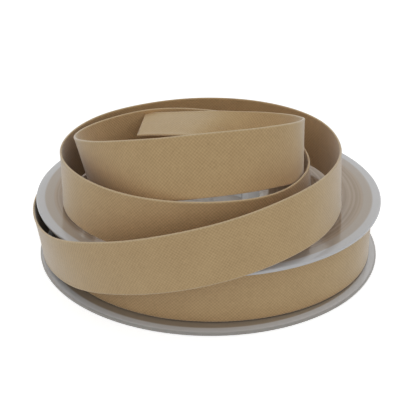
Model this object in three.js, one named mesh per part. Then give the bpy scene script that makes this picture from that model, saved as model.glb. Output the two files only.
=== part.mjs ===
// A roll of bias binding on a plastic spool, its loose end coiled on top of the upper flange.
// Millimetres, +Z up. The spool stands on its lower flange, its axis along Z.
// The origin is under the middle of the whole outline, on the surface that the spool stands on.

import * as THREE from 'three';

// Tape
const TAPE_WIDTH = 20;
const LOOSE_TAPE_THICKNESS = 1;
const CLEARANCE = 0.3;

// Spool, two like halves that meet in the middle of the hub
const FLANGE_RADIUS = 62.5;
const FLANGE_THICKNESS = 1.25;
const RIM_INNER_RADIUS = 59.8;
const RIM_CHAMFER = 0.3;
const BAND_INNER_RADIUS = 56.5;
const BAND_INSET = 0.1;
const WEB_INSET = 0.2;
const HUB_RADIUS = 21.5;
const BORE_RADIUS = 19.5;
const SPOOL_HEIGHT = TAPE_WIDTH + 2 * (FLANGE_THICKNESS + CLEARANCE);

// Wound tape between the flanges. Its last turn works loose from the front round to the right, and
// leaves the roll at the left, towards the back. Degrees around the spool's axis, 0 at the right.
const ROLL_INNER_RADIUS = HUB_RADIUS + CLEARANCE;
const ROLL_OUTER_RADIUS = 56.5;
const LAST_TURN_RADIUS = 59.8;
const LOOSENING = { from: -95, to: 0 };
const LEAVING = { from: 147, to: 160 };
const ROLL_EDGE = 0.4;

const ROUND_SEGMENTS = 64;

// Loose tape, a row for each section along its way, which runs counter-clockwise seen from above.
// It leaves the roll at the left, climbs over the rim at the front, stands in two turns on the
// flange, rises into a third turn and ends lying flat at the back.
// turn: degrees around the coil's centre, radius: from that centre to the middle of the tape,
// middle: height of the middle of the tape, lean: degrees that its upper edge tips outwards.
const COIL_CENTRE_Y = -9.5;
const TAPE_SECTIONS = [
  { turn: 140, radius: 66.4, middle: 11.55, lean: 0 },
  { turn: 160, radius: 64, middle: 11.55, lean: 1 },
  { turn: 180, radius: 61.5, middle: 11.5, lean: 6 },
  { turn: 210, radius: 58, middle: 14, lean: 14 },
  { turn: 240, radius: 56.5, middle: 22.5, lean: 8 },
  { turn: 270, radius: 55.5, middle: 31, lean: -2 },
  { turn: 300, radius: 52, middle: 36, lean: -7 },
  { turn: 330, radius: 47.5, middle: 36, lean: -5 },
  { turn: 360, radius: 46, middle: 35, lean: -3 },
  { turn: 390, radius: 46.5, middle: 35, lean: -1 },
  { turn: 420, radius: 47, middle: 34.5, lean: 0 },
  { turn: 450, radius: 47.5, middle: 34, lean: 0 },
  { turn: 480, radius: 48.5, middle: 33.5, lean: 0 },
  { turn: 510, radius: 50.5, middle: 33.5, lean: 0 },
  { turn: 540, radius: 51.5, middle: 33.5, lean: 0 },
  { turn: 570, radius: 50, middle: 34.5, lean: 1 },
  { turn: 600, radius: 47.5, middle: 34.5, lean: 2 },
  { turn: 630, radius: 45.5, middle: 34.5, lean: 0 },
  { turn: 660, radius: 43, middle: 33.5, lean: -4 },
  { turn: 690, radius: 38.5, middle: 33.5, lean: -5 },
  { turn: 720, radius: 34, middle: 33.5, lean: -6 },
  { turn: 750, radius: 31.5, middle: 34, lean: -5 },
  { turn: 780, radius: 32, middle: 34, lean: -4 },
  { turn: 810, radius: 35.5, middle: 33.5, lean: 0 },
  { turn: 840, radius: 41, middle: 33.5, lean: 5 },
  { turn: 870, radius: 43.5, middle: 34, lean: 13 },
  { turn: 900, radius: 44, middle: 37.5, lean: 16 },
  { turn: 930, radius: 43, middle: 44, lean: 6 },
  { turn: 960, radius: 42, middle: 50.5, lean: -11 },
  { turn: 990, radius: 40.5, middle: 54.5, lean: -17 },
  { turn: 1020, radius: 38.7, middle: 54.2, lean: -10 },
  { turn: 1050, radius: 35.4, middle: 50.1, lean: -5 },
  { turn: 1080, radius: 30, middle: 44.5, lean: 9 },
  { turn: 1110, radius: 25.2, middle: 41, lean: 31 },
  { turn: 1140, radius: 21.2, middle: 40.7, lean: 54 },
  { turn: 1170, radius: 21, middle: 43.2, lean: 80 },
  { turn: 1200, radius: 28.5, middle: 42, lean: 86 },
  { turn: 1214, radius: 36.5, middle: 41, lean: 87 },
];
const TURN_STEP = 8;
const TANGENT_STEP = 0.5;

const clothMaterial = () => new THREE.MeshStandardMaterial({ color: 0xa58f6e, roughness: 0.95, metalness: 0 });
const plasticMaterial = () => new THREE.MeshStandardMaterial({ color: 0xd9d9d7, roughness: 0.35, metalness: 0 });

// A ring around Z from a closed profile of [radius, height] corners, counter-clockwise in that plane.
function turnedRing(corners) {
  const profile = [...corners, corners[0]].map(([radius, height]) => new THREE.Vector2(radius, height));
  return new THREE.LatheGeometry(profile, ROUND_SEGMENTS).rotateX(Math.PI / 2);
}

// One half of the spool: a thin flange with a thicker rim, and half of the hub, open at the bore.
function spoolHalfCorners() {
  const seam = (SPOOL_HEIGHT - CLEARANCE) / 2;
  return [
    [BORE_RADIUS, WEB_INSET],
    [BAND_INNER_RADIUS, WEB_INSET],
    [BAND_INNER_RADIUS, BAND_INSET],
    [RIM_INNER_RADIUS, BAND_INSET],
    [RIM_INNER_RADIUS, 0],
    [FLANGE_RADIUS - RIM_CHAMFER, 0],
    [FLANGE_RADIUS, RIM_CHAMFER],
    [FLANGE_RADIUS, FLANGE_THICKNESS - RIM_CHAMFER],
    [FLANGE_RADIUS - RIM_CHAMFER, FLANGE_THICKNESS],
    [HUB_RADIUS, FLANGE_THICKNESS],
    [HUB_RADIUS, seam],
    [BORE_RADIUS, seam],
  ];
}

// Sections joined into one closed surface, each a list of corners counter-clockwise seen along the way.
// A ring runs from its last section back to its first, and other surfaces get the end faces given.
function joinedSections(sections, { ring = false, endFaces = [] }) {
  const sides = sections[0].length;
  const steps = ring ? sections.length : sections.length - 1;
  const triangles = [];
  for (let step = 0; step < steps; step += 1) {
    const here = step * sides;
    const next = ((step + 1) % sections.length) * sides;
    for (let side = 0; side < sides; side += 1) {
      const after = (side + 1) % sides;
      triangles.push(here + side, next + side, here + after, here + after, next + side, next + after);
    }
  }
  const end = steps * sides;
  for (const [a, b, c] of endFaces) {
    triangles.push(a, b, c, end + a, end + c, end + b);
  }
  const geometry = new THREE.BufferGeometry().setFromPoints(sections.flat());
  geometry.setIndex(triangles);
  geometry.computeVertexNormals();
  return geometry;
}

// Outer radius of the wound tape at degrees around the axis.
function rollRadius(azimuth) {
  const loosened = THREE.MathUtils.smoothstep(azimuth, LOOSENING.from, LOOSENING.to);
  const left = THREE.MathUtils.smoothstep(azimuth, LEAVING.from, LEAVING.to);
  return ROLL_OUTER_RADIUS + (LAST_TURN_RADIUS - ROLL_OUTER_RADIUS) * (loosened - left);
}

// The wound tape, a ring with slightly rounded edges.
function woundRoll() {
  const bottom = FLANGE_THICKNESS + CLEARANCE;
  const top = bottom + TAPE_WIDTH;
  const sections = [];
  for (let segment = 0; segment < ROUND_SEGMENTS; segment += 1) {
    const azimuth = LEAVING.to - 360 + (360 * segment) / ROUND_SEGMENTS;
    const angle = THREE.MathUtils.degToRad(azimuth);
    const outer = rollRadius(azimuth);
    const corners = [
      [ROLL_INNER_RADIUS, bottom],
      [outer - ROLL_EDGE, bottom],
      [outer, bottom + ROLL_EDGE],
      [outer, top - ROLL_EDGE],
      [outer - ROLL_EDGE, top],
      [ROLL_INNER_RADIUS, top],
    ];
    const place = ([radius, height]) => (
      new THREE.Vector3(radius * Math.cos(angle), radius * Math.sin(angle), height)
    );
    sections.push(corners.map(place));
  }
  return joinedSections(sections, { ring: true });
}

// Smooth run of radius, middle height and lean through the rows of the table.
const sectionRun = new THREE.CubicInterpolant(
  TAPE_SECTIONS.map(({ turn }) => turn),
  Float64Array.from(TAPE_SECTIONS.flatMap(({ radius, middle, lean }) => [radius, middle, lean])),
  3,
);

function tapeMiddle(turn) {
  const [radius, middle] = sectionRun.evaluate(turn);
  const angle = THREE.MathUtils.degToRad(turn);
  return new THREE.Vector3(radius * Math.cos(angle), COIL_CENTRE_Y + radius * Math.sin(angle), middle);
}

// The corners of the tape's section at a turn, in order around it: the outer face from the lower
// edge to the upper one, then the inner face back down.
function tapeSection(turn) {
  const centre = tapeMiddle(turn);
  const along = tapeMiddle(turn + TANGENT_STEP).sub(tapeMiddle(turn - TANGENT_STEP)).normalize();
  const upright = new THREE.Vector3(0, 0, 1);
  upright.addScaledVector(along, -along.z).normalize();
  const lean = THREE.MathUtils.degToRad(sectionRun.evaluate(turn)[2]);
  const outward = new THREE.Vector3().crossVectors(along, upright);
  const across = upright.clone().multiplyScalar(Math.cos(lean)).addScaledVector(outward, Math.sin(lean));
  const normal = new THREE.Vector3().crossVectors(along, across);
  const half = TAPE_WIDTH / 2;
  const face = LOOSE_TAPE_THICKNESS / 2;
  const places = [[-half, face], [0, face], [half, face], [half, -face], [0, -face], [-half, -face]];
  return places.map(([up, out]) => centre.clone().addScaledVector(across, up).addScaledVector(normal, out));
}

// The loose tape: its sections joined into one closed sheet.
function looseTape() {
  const first = TAPE_SECTIONS[0].turn;
  const last = TAPE_SECTIONS[TAPE_SECTIONS.length - 1].turn;
  const steps = Math.round((last - first) / TURN_STEP);
  const sections = [];
  for (let step = 0; step <= steps; step += 1) {
    sections.push(tapeSection(first + ((last - first) * step) / steps));
  }
  return joinedSections(sections, { endFaces: [[0, 1, 5], [1, 4, 5], [1, 2, 4], [2, 3, 4]] });
}

function namedMesh(name, geometry, material) {
  const mesh = new THREE.Mesh(geometry, material);
  mesh.name = name;
  return mesh;
}

const upperHalf = namedMesh('spool_upper', turnedRing(spoolHalfCorners()), plasticMaterial());
upperHalf.rotation.x = Math.PI;
upperHalf.position.z = SPOOL_HEIGHT;

const wholeRoll = new THREE.Group();
wholeRoll.add(
  namedMesh('spool_lower', turnedRing(spoolHalfCorners()), plasticMaterial()),
  upperHalf,
  namedMesh('wound_roll', woundRoll(), clothMaterial()),
  namedMesh('loose_tape', looseTape(), clothMaterial()),
);

// The outline's middle is put over the origin.
const outline = new THREE.Box3().setFromObject(wholeRoll, true);
const middle = outline.getCenter(new THREE.Vector3());
wholeRoll.position.set(-middle.x, -middle.y, 0);

const part = new THREE.Group();
part.add(wholeRoll);

export default part;
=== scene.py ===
"""A roll of bias binding on a milky plastic spool, its loose end coiled on top. Metres, +Z up."""

import math

import bpy
import numpy as np
from mathutils import Matrix, Vector


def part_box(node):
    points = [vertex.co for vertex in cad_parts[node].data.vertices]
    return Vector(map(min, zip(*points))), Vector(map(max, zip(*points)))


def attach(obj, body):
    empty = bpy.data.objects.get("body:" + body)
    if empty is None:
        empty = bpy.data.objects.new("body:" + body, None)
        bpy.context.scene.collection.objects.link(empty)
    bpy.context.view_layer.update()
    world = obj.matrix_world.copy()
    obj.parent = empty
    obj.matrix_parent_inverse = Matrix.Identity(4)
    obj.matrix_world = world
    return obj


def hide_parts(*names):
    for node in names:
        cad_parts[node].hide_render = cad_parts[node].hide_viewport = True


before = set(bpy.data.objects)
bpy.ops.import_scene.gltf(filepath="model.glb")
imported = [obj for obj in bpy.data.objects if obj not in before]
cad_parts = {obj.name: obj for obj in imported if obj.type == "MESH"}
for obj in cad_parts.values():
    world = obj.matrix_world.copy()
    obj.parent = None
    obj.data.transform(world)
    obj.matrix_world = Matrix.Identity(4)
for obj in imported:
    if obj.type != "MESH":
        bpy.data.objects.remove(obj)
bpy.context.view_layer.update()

MM = 0.001

# Sizes read from the frame
lower_low, lower_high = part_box("spool_lower")
upper_low, upper_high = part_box("spool_upper")
roll_low, roll_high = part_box("wound_roll")
AXIS = Vector(((lower_low.x + lower_high.x) / 2, (lower_low.y + lower_high.y) / 2, 0.0))
FLANGE_RADIUS = (lower_high.x - lower_low.x) / 2
SPOOL_HEIGHT = upper_high.z
ROLL_BOTTOM = roll_low.z
ROLL_TOP = roll_high.z

# Spool, as moulded
FLANGE_THICKNESS = 1.25 * MM
RIM_INNER_RADIUS = 59.8 * MM
RIM_ROUNDING = 0.5 * MM
BAND_INNER_RADIUS = 56.5 * MM
BAND_INSET = 0.1 * MM
WEB_INSET = 0.2 * MM
STEP_SLOPE = 0.8 * MM
HUB_RADIUS = 21.5 * MM
BORE_RADIUS = 19.5 * MM
BORE_RIBS = 8
BORE_RIB_HEIGHT = 0.9 * MM
BORE_RIB_WIDTH = 2.2 * MM
HALF_GAP = 0.15 * MM
SPOOL_SEGMENTS = 288
RIM_STEPS = 5

# Tape: a strip of cloth with both raw edges folded to the middle of its back
TAPE_WIDTH = 20 * MM
CLOTH = 0.25 * MM
LAYER_GAP = 0.05 * MM
FOLD_BULGE = 0.22 * MM
FOLD_BULGE_REACH = 1.5 * MM
RAW_EDGE_GAP = 0.04 * MM
RAW_EDGE_ROUNDING = 0.1 * MM
TAPE_THICKNESS = 2 * CLOTH + LAYER_GAP
FOLD_RADIUS = (TAPE_THICKNESS + FOLD_BULGE) / 2
FOLD_MIDDLE = TAPE_WIDTH / 2 - FOLD_RADIUS
FACE_STEPS = 4
BULGE_STEPS = 4
FOLD_STEPS = 6
SECTION_SPACING = 2 * MM

# The loose tape's way, a row for each section: degrees around the coil's centre, and in millimetres
# the radius from that centre and the height of the tape's middle, and the outward lean in degrees.
COIL_CENTRE_Y = -9.5
TAPE_SECTIONS = (
    # turn, radius, middle, lean
    (140, 66.4, 11.55, 0),
    (160, 64, 11.55, 1),
    (180, 61.5, 11.5, 6),
    (210, 58, 14, 14),
    (240, 56.5, 22.5, 8),
    (270, 55.5, 31, -2),
    (300, 52, 36, -7),
    (330, 47.5, 36, -5),
    (360, 46, 35, -3),
    (390, 46.5, 35, -1),
    (420, 47, 34.5, 0),
    (450, 47.5, 34, 0),
    (480, 48.5, 33.5, 0),
    (510, 50.5, 33.5, 0),
    (540, 51.5, 33.5, 0),
    (570, 50, 34.5, 1),
    (600, 47.5, 34.5, 2),
    (630, 45.5, 34.5, 0),
    (660, 43, 33.5, -4),
    (690, 38.5, 33.5, -5),
    (720, 34, 33.5, -6),
    (750, 31.5, 34, -5),
    (780, 32, 34, -4),
    (810, 35.5, 33.5, 0),
    (840, 41, 33.5, 5),
    (870, 43.5, 34, 13),
    (900, 44, 37.5, 16),
    (930, 43, 44, 6),
    (960, 42, 50.5, -11),
    (990, 40.5, 54.5, -17),
    (1020, 38.7, 54.2, -10),
    (1050, 35.4, 50.1, -5),
    (1080, 30, 44.5, 9),
    (1110, 25.2, 41, 31),
    (1140, 21.2, 40.7, 54),
    (1170, 21, 43.2, 80),
    (1200, 28.5, 42, 86),
    (1214, 36.5, 41, 87),
)
LOOSE_SAMPLES = 4000
WOUND_SAMPLES = 1500
PATH_SPACING = 0.5 * MM
PATH_SMOOTHING = 2.5 * MM
END_SLANT = 1.2 * MM

# Wound tape. Its last turn works loose from the front round to the right, in degrees around the axis.
ROLL_RADIUS = 56.5 * MM
LAST_TURN_RADIUS = 59.8 * MM
LOOSENING_START = math.radians(-95)
LOOSENING_END = 0.0
LEAVING_POWER = 8
TURN_PITCH = 0.45 * MM
TURN_EDGE_DEPTH = 0.18 * MM
TURN_UNEVENNESS = 0.12 * MM
HUB_CLEARANCE = 0.3 * MM
LAST_TURN_CLEARANCE = 0.05 * MM
LOW_POINTS_PER_TURN = 2
HIGH_POINTS_PER_TURN = 4
WANDER_WAVES = 3
WANDER_SPACING = 2.2 * MM
ROLL_SEGMENTS = 120
ROLL_SEED = 7

# Camera, set by the outlines of both rims in the photograph
IMAGE_SIDE = 420
FOCAL_PIXELS = 974.4
SENSOR = 36.0
CAMERA_BACK = 322.6 * MM
CAMERA_HEIGHT = 177.4 * MM
CAMERA_PITCH = math.radians(26.89)
CAMERA_YAW = math.radians(0.09)
CAMERA_ROLL = math.radians(0.55)

# Looks
CLOTH_LIGHT = (0.67, 0.482, 0.268, 1)
CLOTH_DARK = (0.47, 0.328, 0.172, 1)
# Paler colour along both folds: partly worn cloth, partly a painted highlight where the folded edges catch
# light.
FOLD_PALE_AND_HIGHLIGHT = (0.74, 0.62, 0.45, 1)
YARN_SPACING = 0.85 * MM
YARN_SWAY = 4.0
YARN_ROWS = 0.3
SLUB_LENGTH = 2.0 * MM
SLUB_WIDTH = 0.3 * MM
YARN_SHARE = 0.55
MOTTLING_SHARE = 0.4
MOTTLING_SCALE = 110.0
TONE_SHIFT = -0.25
YARN_BUMP = 0.4
YARN_HEIGHT = 0.08 * MM
FOLD_WEAR_AND_HIGHLIGHT_REACH = 0.6 * MM
FOLD_WEAR_AND_HIGHLIGHT_SHARE = 0.5
EDGE_TURN_SCALE = 0.9
EDGE_TURN_SHARE = 0.7
EDGE_FIBRE_SCALE = 2500.0
EDGE_FIBRE_HEIGHT = 0.05 * MM
HUB_WHITE = (0.97, 0.97, 0.97, 1)
WEB_LIGHT = (0.56, 0.465, 0.375, 1)
WEB_DARK = (0.445, 0.36, 0.28, 1)
BAND_GREY = (0.56, 0.50, 0.44, 1)
RIM_WHITE = (0.70, 0.71, 0.73, 1)
# Painted shade on the lower half: its band is darkened brown at the roll's foot, and its outer edge is
# darkened near the floor.
LOWER_BAND_PAINTED_SHADE = (0.42, 0.36, 0.29, 1)
LOWER_EDGE_PAINTED_SHADE = (0.37, 0.35, 0.32, 1)
ZONE_BLEND = 0.8 * MM
RING_SPACING = 1.5 * MM
RING_WANDER_SCALE = 25.0
RING_EDGES = (0.35, 0.65)
PLASTIC_ALPHA = 0.9
PLASTIC_WAVE_SCALE = 700.0
PLASTIC_WAVE_HEIGHT = 0.1 * MM
FLOOR_SIDE = 2.0
FLOOR_SHADES = ((0.9, 0.9, 0.9, 1), (0.93, 0.93, 0.93, 1))

# The two halves differ in the colours of band and edge: the lower ones are painted shade, a brown band for
# the shade at the roll's foot and a darker outer edge for the shade where the rim stands on the floor.
SPOOL_HALVES = (
    # node, upper, band, edge
    ("spool_lower", False, LOWER_BAND_PAINTED_SHADE, LOWER_EDGE_PAINTED_SHADE),
    ("spool_upper", True, BAND_GREY, RIM_WHITE),
)

# Light: a pale room that is brighter at the back and dimmer overhead and below, a faint soft lamp
# above, and a floor that glows. The strength of the room's light is the sum of runs along an axis.
FLOOR_GLOW = 0.6
SKY_PARTS = (
    # axis, from, to, strength from, strength to
    ("Z", -0.3, 0.3, 0.42, 0.71),
    ("Y", 0.4, 0.8, 0.0, 0.28),
    ("Z", 0.5, 1.0, 0.0, -0.29),
)
KEY_PLACE = (0.10, -0.3, 0.85)
KEY_SIZE = 0.7
KEY_POWER = 0.3
TONE_CURVE = ((0.1, 0.08), (0.35, 0.355))


# Meshes

def make_mesh(name, points, faces, material, weave=None):
    """An object from points (n, 3) and faces, smooth shaded, with weave coordinates for each point."""
    mesh = bpy.data.meshes.new(name)
    mesh.from_pydata(points.tolist(), [], faces)
    mesh.materials.append(material)
    mesh.polygons.foreach_set("use_smooth", np.ones(len(mesh.polygons), bool))
    if weave is not None:
        corner_vertex = np.zeros(len(mesh.loops), np.int32)
        mesh.loops.foreach_get("vertex_index", corner_vertex)
        layer = mesh.uv_layers.new(name="Weave")
        layer.uv.foreach_set("vector", weave[corner_vertex].astype(np.float32).ravel())
    mesh.update()
    made = bpy.data.objects.new(name, mesh)
    bpy.context.scene.collection.objects.link(made)
    return made


def grid_faces(rows, columns, close_rows):
    """Quads between neighbours of a grid of points whose columns close on themselves."""
    row_count = rows if close_rows else rows - 1
    row, column = np.meshgrid(np.arange(row_count), np.arange(columns), indexing="ij")
    next_row = (row + 1) % rows
    next_column = (column + 1) % columns
    corners = [(row, column), (next_row, column), (next_row, next_column), (row, next_column)]
    return np.stack([(r * columns + c).ravel() for r, c in corners], 1).tolist()


def arc(centre, radius, start_deg, end_deg, steps):
    """Points of a round corner in a profile."""
    angles = np.radians(np.linspace(start_deg, end_deg, steps + 1))
    return [(centre[0] + radius * math.cos(a), centre[1] + radius * math.sin(a)) for a in angles]


# Materials

class Shader:
    """A node material with a Principled shader and short calls for its nodes."""

    def __init__(self, name, **values):
        self.material = bpy.data.materials.new(name)
        self.material.use_nodes = True
        self.tree = self.material.node_tree
        self.principled = next(n for n in self.tree.nodes if n.type == "BSDF_PRINCIPLED")
        for socket, value in values.items():
            self.principled.inputs[socket.replace("_", " ")].default_value = value

    def put(self, node, socket, value):
        if isinstance(value, bpy.types.NodeSocket):
            self.tree.links.new(value, node.inputs[socket])
        elif value is not None:
            node.inputs[socket].default_value = value

    def math(self, operation, first, second=None):
        node = self.tree.nodes.new("ShaderNodeMath")
        node.operation = operation
        self.put(node, 0, first)
        self.put(node, 1, second)
        return node.outputs[0]

    def noise(self, vector, scale, detail=2.0, roughness=0.5):
        node = self.tree.nodes.new("ShaderNodeTexNoise")
        self.put(node, "Vector", vector)
        self.put(node, "Scale", scale)
        self.put(node, "Detail", detail)
        self.put(node, "Roughness", roughness)
        return node.outputs["Fac"]

    def combine(self, x, y, z=0.0):
        node = self.tree.nodes.new("ShaderNodeCombineXYZ")
        for socket, value in zip("XYZ", (x, y, z)):
            self.put(node, socket, value)
        return node.outputs[0]

    def split(self, vector):
        node = self.tree.nodes.new("ShaderNodeSeparateXYZ")
        self.put(node, 0, vector)
        return node.outputs

    def uv(self, name):
        node = self.tree.nodes.new("ShaderNodeUVMap")
        node.uv_map = name
        return node.outputs[0]

    def place(self):
        return self.tree.nodes.new("ShaderNodeTexCoord").outputs["Object"]

    def mix(self, share, first, second):
        node = self.tree.nodes.new("ShaderNodeMix")
        node.data_type = "RGBA"
        self.put(node, "Factor", share)
        colours = [s for s in node.inputs if s.type == "RGBA"]
        for socket, value in zip(colours, (first, second)):
            if isinstance(value, bpy.types.NodeSocket):
                self.tree.links.new(value, socket)
            else:
                socket.default_value = value
        return next(s for s in node.outputs if s.type == "RGBA")

    def blend(self, value, start, end):
        node = self.tree.nodes.new("ShaderNodeMapRange")
        node.interpolation_type = "SMOOTHSTEP"
        self.put(node, "Value", value)
        self.put(node, "From Min", start)
        self.put(node, "From Max", end)
        return node.outputs["Result"]

    def from_axis(self):
        x, y, _ = self.split(self.place())
        offsets = [self.math("SUBTRACT", value, middle) for value, middle in ((x, AXIS.x), (y, AXIS.y))]
        squares = [self.math("POWER", offset, 2.0) for offset in offsets]
        return self.math("SQRT", self.math("ADD", *squares))

    def bump(self, height, strength, distance):
        node = self.tree.nodes.new("ShaderNodeBump")
        self.put(node, "Height", height)
        self.put(node, "Strength", strength)
        self.put(node, "Distance", distance)
        self.tree.links.new(node.outputs[0], self.principled.inputs["Normal"])

    def colour(self, value):
        self.tree.links.new(value, self.principled.inputs["Base Color"])


def uneven_yarns(shader, lengthwise, sideways):
    """Light and dark of the yarns of one direction: slubs along each yarn, and swaying rows."""
    stretched = shader.combine(
        shader.math("DIVIDE", lengthwise, SLUB_LENGTH), shader.math("DIVIDE", sideways, SLUB_WIDTH)
    )
    slubs = shader.noise(stretched, 1.0, 1.0)
    sway = shader.math("MULTIPLY", slubs, YARN_SWAY)
    rows = shader.math("ADD", shader.math("MULTIPLY", sideways, 2 * math.pi / YARN_SPACING), sway)
    return shader.math("ADD", slubs, shader.math("MULTIPLY", shader.math("SINE", rows), YARN_ROWS))


def woven_cloth():
    """Plain weave that runs at 45 degrees to the tape, with uneven yarns and a faint mottling."""
    shader = Shader(
        "woven_cloth",
        Roughness=0.8,
        Specular_IOR_Level=0.7,
        Sheen_Weight=0.8,
        Sheen_Roughness=0.4,
    )
    along, across, _ = shader.split(shader.uv("Weave"))
    warp = shader.math("DIVIDE", shader.math("ADD", along, across), math.sqrt(2))
    weft = shader.math("DIVIDE", shader.math("SUBTRACT", along, across), math.sqrt(2))
    yarns = shader.math("ADD", uneven_yarns(shader, warp, weft), uneven_yarns(shader, weft, warp))
    mottling = shader.noise(shader.combine(along, across), MOTTLING_SCALE, 3.0)
    tone = shader.math("MULTIPLY", yarns, YARN_SHARE)
    tone = shader.math("ADD", tone, shader.math("MULTIPLY", mottling, MOTTLING_SHARE))
    woven = shader.mix(shader.math("ADD", tone, TONE_SHIFT), CLOTH_DARK, CLOTH_LIGHT)
    # Painted highlight and wear: a paler line along both folds, partly worn cloth and partly the light that
    # the folded edges catch.
    from_fold = shader.math("SUBTRACT", shader.math("ABSOLUTE", across), TAPE_WIDTH / 2)
    worn_and_lit = shader.blend(shader.math("ABSOLUTE", from_fold), FOLD_WEAR_AND_HIGHLIGHT_REACH, 0.0)
    shader.colour(shader.mix(shader.math("MULTIPLY", worn_and_lit, FOLD_WEAR_AND_HIGHLIGHT_SHARE), woven, FOLD_PALE_AND_HIGHLIGHT))
    shader.bump(yarns, YARN_BUMP, YARN_HEIGHT)
    return shader.material


def wound_edges():
    """The folded edges of the wound turns, each turn a little lighter or darker."""
    shader = Shader("wound_edges", Roughness=0.92, Specular_IOR_Level=0.15)
    turn = shader.math("DIVIDE", shader.from_axis(), TURN_PITCH)
    shades = shader.noise(shader.combine(turn, 0.0), EDGE_TURN_SCALE, 1.0)
    fibres = shader.noise(shader.place(), EDGE_FIBRE_SCALE, 2.0)
    tone = shader.math("MULTIPLY", shades, EDGE_TURN_SHARE)
    tone = shader.math("ADD", tone, shader.math("MULTIPLY", fibres, 1 - EDGE_TURN_SHARE))
    shader.colour(shader.mix(tone, CLOTH_DARK, CLOTH_LIGHT))
    shader.bump(fibres, 0.3, EDGE_FIBRE_HEIGHT)
    return shader.material


def milky_plastic(name, band, edge):
    """Glossy moulded plastic. Its web is thin, so the edges of the wound turns tint it in faint rings."""
    shader = Shader(name, Roughness=0.12, IOR=1.49, Alpha=PLASTIC_ALPHA)
    radius = shader.from_axis()
    wander = shader.math("MULTIPLY", shader.noise(shader.place(), RING_WANDER_SCALE), RING_SPACING)
    rings = shader.math("DIVIDE", shader.math("ADD", radius, wander), RING_SPACING)
    shades = shader.blend(shader.noise(shader.combine(rings, 0.0), 1.0, 2.0), *RING_EDGES)
    colour = shader.mix(shades, WEB_DARK, WEB_LIGHT)
    # For the lower half, the band and edge colours are painted shade.
    zones = ((BAND_INNER_RADIUS, band), (RIM_INNER_RADIUS, RIM_WHITE), (FLANGE_RADIUS, edge))
    for start, zone_colour in zones:
        colour = shader.mix(shader.blend(radius, start - ZONE_BLEND, start), colour, zone_colour)
    at_hub = shader.blend(radius, HUB_RADIUS + ZONE_BLEND, HUB_RADIUS)
    shader.colour(shader.mix(at_hub, colour, HUB_WHITE))
    shader.bump(shader.noise(shader.place(), PLASTIC_WAVE_SCALE, 2.0), 0.05, PLASTIC_WAVE_HEIGHT)
    return shader.material


def floor_paint():
    """Pale matt paint that glows."""
    shader = Shader("floor_paint", Roughness=0.9, Specular_IOR_Level=0.0)
    shade = shader.noise(shader.place(), 3.0, 2.0)
    shader.colour(shader.mix(shade, *FLOOR_SHADES))
    shader.principled.inputs["Emission Color"].default_value = (1, 1, 1, 1)
    shader.principled.inputs["Emission Strength"].default_value = FLOOR_GLOW
    return shader.material


# Spool

def spool_profile():
    """Corners of the lower half in radius and height."""
    seam = SPOOL_HEIGHT / 2 - HALF_GAP
    rounded = FLANGE_RADIUS - RIM_ROUNDING
    rim_low = arc((rounded, RIM_ROUNDING), RIM_ROUNDING, -90, 0, RIM_STEPS)
    rim_high = arc((rounded, FLANGE_THICKNESS - RIM_ROUNDING), RIM_ROUNDING, 0, 90, RIM_STEPS)
    outside = [
        (BORE_RADIUS, WEB_INSET),
        (HUB_RADIUS + STEP_SLOPE, WEB_INSET),
        (BAND_INNER_RADIUS - STEP_SLOPE, WEB_INSET),
        (BAND_INNER_RADIUS, BAND_INSET),
        (RIM_INNER_RADIUS - STEP_SLOPE, BAND_INSET),
        (RIM_INNER_RADIUS, 0.0),
    ]
    inside = [
        (RIM_INNER_RADIUS, FLANGE_THICKNESS),
        (BAND_INNER_RADIUS, FLANGE_THICKNESS),
        (HUB_RADIUS, FLANGE_THICKNESS),
        (HUB_RADIUS, seam),
        (BORE_RADIUS, seam),
        (BORE_RADIUS, FLANGE_THICKNESS),
    ]
    return np.array(outside + rim_low + rim_high + inside)


def spool_half(name, upper, material):
    """One half of the spool, with upright ribs on the wall of its bore."""
    radius, height = spool_profile().T
    angle = np.linspace(0, 2 * math.pi, SPOOL_SEGMENTS, endpoint=False)
    if upper:
        angle = -angle
        height = SPOOL_HEIGHT - height
    to_rib = (angle * BORE_RIBS / (2 * math.pi) + 0.5) % 1 - 0.5
    from_rib = np.abs(to_rib) * 2 * math.pi * BORE_RADIUS / BORE_RIBS
    rib = BORE_RIB_HEIGHT * np.clip(1.5 - from_rib / (BORE_RIB_WIDTH / 2), 0, 1)
    in_bore = np.isclose(radius, BORE_RADIUS)
    ring = radius[None, :] - rib[:, None] * in_bore[None, :]
    points = np.stack(
        [
            AXIS.x + ring * np.cos(angle)[:, None],
            AXIS.y + ring * np.sin(angle)[:, None],
            np.broadcast_to(height, ring.shape),
        ],
        2,
    )
    faces = grid_faces(SPOOL_SEGMENTS, len(radius), close_rows=True)
    return make_mesh(name, points.reshape(-1, 3), faces, material)


# Wound roll

def roll_edge_line(generator, inner, outer, points_per_turn):
    """Radii across one side of the roll, and how far the turn edges lie below its face there."""
    turns = int((outer - inner) / TURN_PITCH)
    step = (outer - inner) / (turns * points_per_turn)
    radii = inner + step * np.arange(turns * points_per_turn + 1)
    within = np.arange(turns * points_per_turn + 1) % points_per_turn / points_per_turn
    valley = np.cos(2 * math.pi * within) * 0.5 + 0.5
    uneven = np.repeat(generator.uniform(0, 1, turns + 1), points_per_turn)[: len(radii)]
    return radii, TURN_EDGE_DEPTH * valley + TURN_UNEVENNESS * uneven


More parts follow.
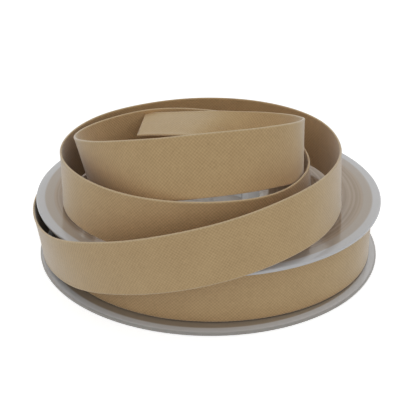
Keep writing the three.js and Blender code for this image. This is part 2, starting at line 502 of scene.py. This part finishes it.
def wound_turns(name, material):
    """The wound tape under its last turn: a ring whose two faces are ridged by the turns' edges."""
    generator = np.random.default_rng(ROLL_SEED)
    inner = HUB_RADIUS + HUB_CLEARANCE
    outer = ROLL_RADIUS - TAPE_THICKNESS - FOLD_BULGE / 2 - LAST_TURN_CLEARANCE
    low_radii, low_depth = roll_edge_line(generator, inner, outer, LOW_POINTS_PER_TURN)
    high_radii, high_depth = roll_edge_line(generator, inner, outer, HIGH_POINTS_PER_TURN)
    radius = np.concatenate([low_radii, high_radii[::-1]])
    height = np.concatenate([ROLL_BOTTOM + low_depth, (ROLL_TOP - high_depth)[::-1]])
    angle = np.linspace(0, 2 * math.pi, ROLL_SEGMENTS, endpoint=False)
    inward = np.where(height > (ROLL_BOTTOM + ROLL_TOP) / 2, -1.0, 1.0)
    wander = 0.5 + 0.5 * np.sin(WANDER_WAVES * angle[:, None] + radius[None, :] / WANDER_SPACING)
    points = np.stack(
        [
            AXIS.x + radius[None, :] * np.cos(angle)[:, None],
            AXIS.y + radius[None, :] * np.sin(angle)[:, None],
            height[None, :] + inward[None, :] * wander * TURN_UNEVENNESS / 2,
        ],
        2,
    )
    faces = grid_faces(ROLL_SEGMENTS, len(radius), close_rows=True)
    return make_mesh(name, points.reshape(-1, 3), faces, material)


# Tape

def through_rows(rows, at):
    """Smooth values at places along a table's first column. Slopes are the mean of the neighbouring ones."""
    table = np.array(rows, float)
    place, value = table[:, 0], table[:, 1:]
    chord = np.diff(value, axis=0) / np.diff(place)[:, None]
    slope = np.vstack([chord[:1], (chord[1:] + chord[:-1]) / 2, chord[-1:]])
    left = np.clip(np.searchsorted(place, at, side="right") - 1, 0, len(place) - 2)
    span = (place[left + 1] - place[left])[:, None]
    share = (at - place[left])[:, None] / span
    rest = 1 - share
    from_left = (1 + 2 * share) * rest**2 * value[left] + share * rest**2 * span * slope[left]
    right = left + 1
    from_right = share**2 * (3 - 2 * share) * value[right] - share**2 * rest * span * slope[right]
    return from_left + from_right


def smooth_step(share):
    """A soft run from 0 to 1."""
    share = np.clip(share, 0, 1)
    return share**2 * (3 - 2 * share)


def smoothed(values, width):
    """Values of an even row of samples, averaged over a bell of that width, with the ends held."""
    reach = int(3 * width)
    bell = np.exp(-0.5 * (np.arange(-reach, reach + 1) / width) ** 2)
    bell /= bell.sum()
    before = 2 * values[:1] - values[reach:0:-1]
    after = 2 * values[-1:] - values[-2 : -reach - 2 : -1]
    padded = np.concatenate([before, values, after])
    return np.stack([np.convolve(padded[:, i], bell, mode="valid") for i in range(values.shape[1])], 1)


def tape_path():
    """Points along the middle of the tape and its lean there: the last wound turn, then the loose end."""
    first, last = TAPE_SECTIONS[0][0], TAPE_SECTIONS[-1][0]
    turn = np.linspace(first, last, LOOSE_SAMPLES)
    radius, middle, lean = through_rows(TAPE_SECTIONS, turn).T
    angle = np.radians(turn)
    loose = np.stack([radius * np.cos(angle), COIL_CENTRE_Y + radius * np.sin(angle), middle], 1) * MM
    start_radius = math.hypot(loose[0, 0], loose[0, 1])
    start_angle = math.atan2(loose[0, 1], loose[0, 0])
    share = np.linspace(0, 1, WOUND_SAMPLES, endpoint=False)
    wrap_angle = start_angle + 2 * math.pi * (share - 1)
    loosened = smooth_step((wrap_angle - LOOSENING_START) / (LOOSENING_END - LOOSENING_START))
    wrap_radius = ROLL_RADIUS + (LAST_TURN_RADIUS - ROLL_RADIUS) * loosened - TAPE_THICKNESS / 2
    wrap_radius += (start_radius - LAST_TURN_RADIUS + TAPE_THICKNESS / 2) * share**LEAVING_POWER
    level = np.full(len(share), loose[0, 2])
    wrap = np.stack([wrap_radius * np.cos(wrap_angle), wrap_radius * np.sin(wrap_angle), level], 1)
    points = np.concatenate([wrap, loose])
    leans = np.concatenate([np.zeros(len(wrap)), np.radians(lean)])
    walked = np.concatenate([[0], np.cumsum(np.linalg.norm(np.diff(points, axis=0), axis=1))])
    even = np.linspace(0, walked[-1], int(walked[-1] / PATH_SPACING))
    samples = np.stack([np.interp(even, walked, c) for c in (*points.T, leans)], 1)
    samples = smoothed(samples, PATH_SMOOTHING / PATH_SPACING)
    keep = np.linspace(0, len(samples) - 1, int(walked[-1] / SECTION_SPACING)).round().astype(int)
    keep = np.unique(np.append(keep, (1, len(samples) - 2)))
    return samples[keep], even[keep]


def half_thickness(across):
    """Half of the folded strip's thickness, which swells towards its folds."""
    near = smooth_step(1 - (FOLD_MIDDLE - across) / FOLD_BULGE_REACH)
    return TAPE_THICKNESS / 2 + FOLD_BULGE / 2 * near


def folded_section():
    """Outline of the folded strip, counter-clockwise seen along the tape: place across and outwards."""
    flat_end = FOLD_MIDDLE - FOLD_BULGE_REACH
    flat_face = np.linspace(0, flat_end, FACE_STEPS, endpoint=False)
    face = np.append(flat_face, np.linspace(flat_end, FOLD_MIDDLE, BULGE_STEPS))
    hem = np.concatenate([(RAW_EDGE_GAP / 2, RAW_EDGE_GAP / 2 + RAW_EDGE_ROUNDING), face[1:]])
    upper = [(a, half_thickness(a)) for a in face[1:]]
    upper += arc((FOLD_MIDDLE, 0.0), FOLD_RADIUS, 90, -90, FOLD_STEPS)[1:-1]
    upper += [(a, -half_thickness(a)) for a in hem[::-1]]
    upper += [(a, CLOTH - half_thickness(a)) for a in hem]
    upper += arc((FOLD_MIDDLE, 0.0), FOLD_RADIUS - CLOTH, -90, 90, FOLD_STEPS)[1:-1]
    upper += [(a, half_thickness(a) - CLOTH) for a in face[:0:-1]]
    lower = [(-a, out) for a, out in reversed(upper)]
    middle = TAPE_THICKNESS / 2
    return np.array(upper + [(0.0, middle - CLOTH)] + lower + [(0.0, middle)])


def flat_place(outline):
    """Where each point of the folded outline lies across the flat strip."""
    half = TAPE_WIDTH / 2
    across, out = outline.T
    folded_back = np.sign(across) * (2 * half - np.abs(across))
    return np.where(out < 0, folded_back, across)


def binding_tape(name, material):
    """The last wound turn and the loose end, one folded strip swept along its way."""
    samples, walked = tape_path()
    middle, lean = samples[:, :3], samples[:, 3]
    along = np.gradient(middle, axis=0)
    along /= np.linalg.norm(along, axis=1)[:, None]
    upright = np.array([0, 0, 1.0]) - along[:, 2:] * along
    upright /= np.linalg.norm(upright, axis=1)[:, None]
    outward = np.cross(along, upright)
    across = np.cos(lean)[:, None] * upright + np.sin(lean)[:, None] * outward
    normal = np.cross(along, across)
    outline = folded_section()
    points = (
        middle[:, None]
        + outline[None, :, :1] * across[:, None]
        + outline[None, :, 1:] * normal[:, None]
    )
    slant = END_SLANT * (-outline[:, 0] / TAPE_WIDTH)
    points[-1] += slant[:, None] * along[-1]
    points += np.array(AXIS)
    rows, columns = points.shape[:2]
    faces = grid_faces(rows, columns, close_rows=False)
    last = (rows - 1) * columns
    faces.append(list(range(columns)))
    faces.append([last + c for c in reversed(range(columns))])
    weave = np.stack(np.broadcast_arrays(walked[:, None], flat_place(outline)[None, :]), 2)
    made = make_mesh(name, points.reshape(-1, 3), faces, material, weave.reshape(-1, 2))
    return made, float(walked[-1])


# Stage

def add_camera():
    forward = Vector(
        (
            math.sin(CAMERA_YAW) * math.cos(CAMERA_PITCH),
            math.cos(CAMERA_YAW) * math.cos(CAMERA_PITCH),
            -math.sin(CAMERA_PITCH),
        )
    )
    level_right = forward.cross(Vector((0, 0, 1))).normalized()
    level_up = level_right.cross(forward)
    right = math.cos(CAMERA_ROLL) * level_right + math.sin(CAMERA_ROLL) * level_up
    up = math.cos(CAMERA_ROLL) * level_up - math.sin(CAMERA_ROLL) * level_right
    data = bpy.data.cameras.new("camera")
    data.sensor_width = SENSOR
    data.lens = FOCAL_PIXELS / IMAGE_SIDE * SENSOR
    data.clip_start = 10 * MM
    camera = bpy.data.objects.new("camera", data)
    camera.matrix_world = Matrix((right, up, -forward)).transposed().to_4x4()
    camera.location = AXIS + Vector((0, -CAMERA_BACK, CAMERA_HEIGHT))
    bpy.context.scene.collection.objects.link(camera)
    bpy.context.scene.camera = camera


def add_area_light(name, place, size, power):
    data = bpy.data.lights.new(name, "AREA")
    data.shape = "DISK"
    data.size = size
    data.energy = power
    light = bpy.data.objects.new(name, data)
    light.location = place
    light.rotation_euler = (AXIS - Vector(place)).to_track_quat("-Z", "Y").to_euler()
    bpy.context.scene.collection.objects.link(light)


def add_stage():
    corners = FLOOR_SIDE * np.array([(-1, -1, 0), (1, -1, 0), (1, 1, 0), (-1, 1, 0)], float)
    floor = make_mesh("floor", corners, [[0, 1, 2, 3]], floor_paint())
    floor.visible_diffuse = False
    add_room_light()
    add_area_light("key", KEY_PLACE, KEY_SIZE, KEY_POWER)
    view = bpy.context.scene.view_settings
    view.view_transform = "Standard"
    view.use_curve_mapping = True
    for shade, shown in TONE_CURVE:
        view.curve_mapping.curves[3].points.new(shade, shown)
    view.curve_mapping.update()


def add_room_light():
    """White light from all around, its strength the sum of the runs in SKY_PARTS."""
    world = bpy.data.worlds.new("studio")
    world.use_nodes = True
    nodes, links = world.node_tree.nodes, world.node_tree.links
    background = nodes["Background"]
    background.inputs["Color"].default_value = (1, 1, 1, 1)
    direction = nodes.new("ShaderNodeSeparateXYZ")
    links.new(nodes.new("ShaderNodeTexCoord").outputs["Generated"], direction.inputs[0])
    strength = nodes.new("ShaderNodeValue").outputs[0]
    strength.default_value = 0.0
    for axis, *limits in SKY_PARTS:
        run = nodes.new("ShaderNodeMapRange")
        for limit, value in zip(("From Min", "From Max", "To Min", "To Max"), limits):
            run.inputs[limit].default_value = value
        links.new(direction.outputs[axis], run.inputs["Value"])
        joined = nodes.new("ShaderNodeMath")
        links.new(run.outputs["Result"], joined.inputs[0])
        links.new(strength, joined.inputs[1])
        strength = joined.outputs[0]
    links.new(strength, background.inputs["Strength"])
    bpy.context.scene.world = world


add_camera()
add_stage()

cloth = woven_cloth()

for node, upper, band, edge in SPOOL_HALVES:
    half = spool_half(node + "_moulding", upper, milky_plastic(node + "_plastic", band, edge))
    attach(half, "root")
    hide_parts(node)

turns = wound_turns("wound_turns", wound_edges())
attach(turns, "root")
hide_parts("wound_roll")

tape, tape_length = binding_tape("binding_tape", cloth)
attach(tape, "root")
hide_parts("loose_tape")
